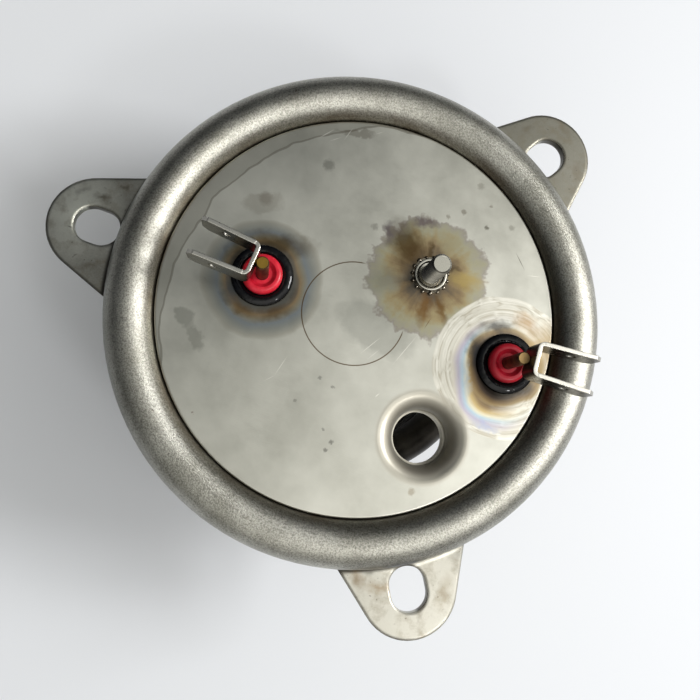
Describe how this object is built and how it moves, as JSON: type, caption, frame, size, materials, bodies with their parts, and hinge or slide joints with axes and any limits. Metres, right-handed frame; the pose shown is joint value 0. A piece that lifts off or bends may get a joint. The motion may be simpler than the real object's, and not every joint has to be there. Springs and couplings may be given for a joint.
{
  "type": "espresso machine heating element",
  "caption": "Immersion heater on a round plate in a pressed channel rim with bolt ears, with a wound sheathed tube hanging below and spade tabs, an earth stud and a fitting hole on the dry side.",
  "frame": {"origin": "centre of the plate's dry face", "axes": "+Z out of the dry face, away from the water; the terminals lie along X, and one ear points along -X"},
  "size_m": [0.116, 0.117, 0.0662],
  "materials": {
    "pressed_steel": "satin, bead blasted and stained",
    "plate_steel": "satin with heat tint round the terminals and the stud",
    "weld_metal": "dull, oxidised",
    "sheath_steel": "dark, oxidised",
    "packed_powder": "matt",
    "resistance_alloy": "dull",
    "pin_steel": "satin, tinted golden brown",
    "red_bush": "glossy",
    "black_seal": "glossy",
    "tab_steel": "satin",
    "braze": "dull",
    "stud_steel": "satin"
  },
  "bodies": {
    "root": {"rim": "pressed_steel", "centre_plate": "plate_steel", "seam_weld": "weld_metal", "element_sheath": "sheath_steel", "insulation_core": "packed_powder", "heating_wire": "resistance_alloy", "pin_left": "pin_steel", "pin_right": "pin_steel", "bush_left": "red_bush", "bush_right": "red_bush", "seal_left": "black_seal", "seal_right": "black_seal", "tab_fork_left": "tab_steel", "tab_fork_right": "tab_steel", "braze_left": "braze", "braze_right": "braze", "stud": "stud_steel", "stud_weld": "weld_metal"}
  },
  "joints": []
}
